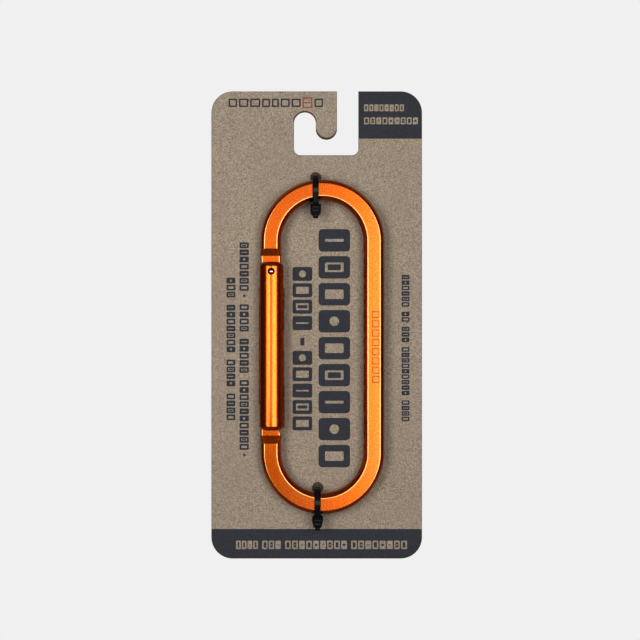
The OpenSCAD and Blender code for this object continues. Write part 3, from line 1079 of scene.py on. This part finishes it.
def make_lock_face(tie, name):
    """The glossier face of the lock between its dull cheeks, with two moulded ledges across it."""
    front, mid = tie.front + LEDGE_H, tie.root
    profile = [(front + 0.8, 1.30), (front + 0.02, 1.24), (front - 0.06, 1.16), (front - 0.16, 1.06),
               (front - 0.18, 0.92), (front - 0.14, 0.70), (front + 0.02, 0.60), (front + 0.02, -0.48),
               (front - 0.10, -0.56), (front - 0.14, -0.70), (front - 0.10, -0.92), (front + 0.06, -1.02),
               (front + 0.8, -1.06)]
    rings = []
    for side, shrink in ((-1, 0.14), (-1, 0.0), (1, 0.0), (1, 0.14)):
        rings.append([(tie.x + side * (LOCK_W / 2 - shrink * 0.6), y + shrink, mid + h) for y, h in profile])
    face = add_mesh(name, *skin(rings))
    smooth(face, 30)
    place(face, "carded_body", "black_nylon", nylon, ledge_highlight)
    # painted highlight: the ledges' front faces take the lighter nylon
    for facet in face.data.polygons:
        height = facet.center.z / MM - mid
        if facet.normal.y < -0.7 and (0.7 < height < 1.1 or -0.95 < height < -0.55):
            facet.material_index = 1


def tail_ring(tie, height, slant, half):
    """One level of the tail, which slants by so much for each millimetre of depth."""
    front = tie.front + 1.25
    outline = round_box(tie.x - half, front, tie.x + half, front + STRAP_T, 0.2, 3)
    return [(x, y, height + slant * (y - front)) for x, y in outline]


def make_tail(tie, name):
    """The cut end of the strap below the head, its end sheared at a slant."""
    half = TAIL_W / 2
    rings = [tail_ring(tie, tie.foot + 0.75, -0.75, half - 0.12),
             tail_ring(tie, tie.foot + 0.92, -0.75, half),
             tail_ring(tie, tie.root - 1.35, 0, half)]
    tail = add_mesh(name, *skin(rings))
    smooth(tail, 30)
    place(tail, "carded_body", "black_nylon", nylon)


# ---------------------------------------------------------------- the object

make_card()
make_print()
make_clip()
make_gate()
make_pin()
make_plunger()
make_spring()
for tie, which in zip(ties, ("upper", "lower")):
    make_strap(tie, f"{which}_tie_strap")
    make_head(tie, f"{which}_tie_head")
    make_lock_face(tie, f"{which}_tie_lock_face")
    make_tail(tie, f"{which}_tie_tail")


# ---------------------------------------------------------------- camera, light and floor

VIEW_X = 6.4
VIEW_Z = -83.15
VIEW_DISTANCE = 523.0


def make_camera():
    """Square on to the printed face, from about half a metre."""
    data = bpy.data.cameras.new("view")
    data.lens = 69.6
    data.sensor_width = 36
    camera = bpy.data.objects.new("view", data)
    camera.location = Vector((VIEW_X, CARD_FRONT - VIEW_DISTANCE, VIEW_Z)) * MM
    camera.rotation_euler = (math.radians(90), 0, 0)
    bpy.context.scene.collection.objects.link(camera)
    bpy.context.scene.camera = camera


def add_softbox(name, low, high, level, facing=(0, 1, 0), gloss=True, matt=True):
    """An even light between two corners of an upright or level rectangle, in millimetres. Its energy
    goes with its area, so level alone sets how bright it looks."""
    low, high = Vector(low) * MM, Vector(high) * MM
    size = [abs(a) for a in high - low]
    thin = size.index(min(size))
    width, height = [s for i, s in enumerate(size) if i != thin]
    data = bpy.data.lights.new(name, "AREA")
    data.shape = "RECTANGLE"
    data.size = width
    data.size_y = height
    data.energy = level * width * height * 4
    light = bpy.data.objects.new(name, data)
    light.location = (low + high) / 2
    light.rotation_mode = "QUATERNION"
    light.rotation_quaternion = Vector(facing).to_track_quat("-Z", "Y")
    light.visible_camera = False
    light.visible_glossy = gloss
    light.visible_diffuse = matt
    bpy.context.scene.collection.objects.link(light)


def make_light():
    """Softboxes around the camera, a fill on each side, one behind, and dim ones above and below."""
    y, low, mid, high = -530, -280, -165, 70
    gap_left, gap_right, reach = -114, 50, 490
    add_softbox("left_box", (-reach, y, mid), (gap_left, y, high), 4.3, matt=False)
    add_softbox("left_low_box", (-reach, y, low), (gap_left - 60, y, mid), 4.3, matt=False)
    add_softbox("right_box", (gap_right, y, low), (reach, y, high), 4.3, matt=False)
    add_softbox("upper_gap", (gap_left, y, mid), (gap_right, y, high), 0.96)
    add_softbox("lower_gap", (-25, y, low), (gap_right, y, mid), 0.94)
    add_softbox("left_near", (-330, y, -230), (gap_left, y, 120), 9.6, gloss=False)
    add_softbox("right_near", (gap_right, y, -230), (266, y, 120), 8.6, gloss=False)
    add_softbox("left_fill", (-640, -500, -350), (-640, 100, 150), 0.7, (1, 0, 0), gloss=False)
    add_softbox("right_fill", (640, -500, -350), (640, 100, 150), 0.4, (-1, 0, 0), gloss=False)
    add_softbox("back_box", (-500, 700, -400), (500, 700, 300), 3.0, (0, -1, 0), gloss=False)
    add_softbox("ceiling", (-600, -900, 480), (600, 400, 480), 0.1, (0, 0, -1))
    add_softbox("low_panel", (-600, -900, -440), (600, 400, -440), 0.1, (0, 0, 1), matt=False)


def make_world():
    """A pale backdrop to the eye, a dim studio in reflections and an even fill on matt surfaces."""
    world = bpy.data.worlds.new("studio")
    world.use_nodes = True
    bpy.context.scene.world = world
    tree = world.node_tree
    tree.nodes.clear()
    out = tree.nodes.new("ShaderNodeOutputWorld")
    path = tree.nodes.new("ShaderNodeLightPath")
    last = None
    for colour, ray in (((0.10, 0.05, 0.03, 1), None), ((0.02, 0.02, 0.02, 1), "Is Diffuse Ray"),
                        (tone(243, 243, 243), "Is Camera Ray")):
        sky = tree.nodes.new("ShaderNodeBackground")
        sky.inputs["Color"].default_value = colour
        if ray:
            choice = tree.nodes.new("ShaderNodeMixShader")
            tree.links.new(path.outputs[ray], choice.inputs[0])
            tree.links.new(last, choice.inputs[1])
            tree.links.new(sky.outputs[0], choice.inputs[2])
            last = choice.outputs[0]
        else:
            last = sky.outputs[0]
    tree.links.new(last, out.inputs["Surface"])


FLOOR_DROP = 265
FLOOR_R = 740


def make_floor():
    """A pale round floor well below the hanging card, fading out at its rim."""
    n = Nodes("pale_floor")
    length = n.add("ShaderNodeVectorMath", operation="LENGTH")
    n.link(n.place, length.inputs[0])
    fade = n.ramp(length.outputs["Value"], FLOOR_R * MM, 0.45 * FLOOR_R * MM)
    pale = n.mix(n.noise(60, 2), (0.80, 0.80, 0.80, 1), (0.83, 0.83, 0.83, 1))
    n.set(Base_Color=pale, Roughness=0.8, Alpha=fade)
    rings = turned([(FLOOR_R, 0), (FLOOR_R / 2, 0), (1, 0)], (0, 0, 0), 96)
    points, faces = skin(rings)
    # without the cap over the outer ring
    floor = add_mesh("floor", points, faces[:-2] + faces[-1:])
    floor.location = Vector(((card_low.x + card_high.x) / 2, 0, card_low.z - FLOOR_DROP)) * MM
    floor.data.materials.append(n.material)
    floor.visible_glossy = False
    floor.visible_diffuse = False


make_camera()
make_light()
make_world()
make_floor()
bpy.context.scene.view_settings.view_transform = "Standard"
bpy.context.scene.view_settings.gamma = 0.8
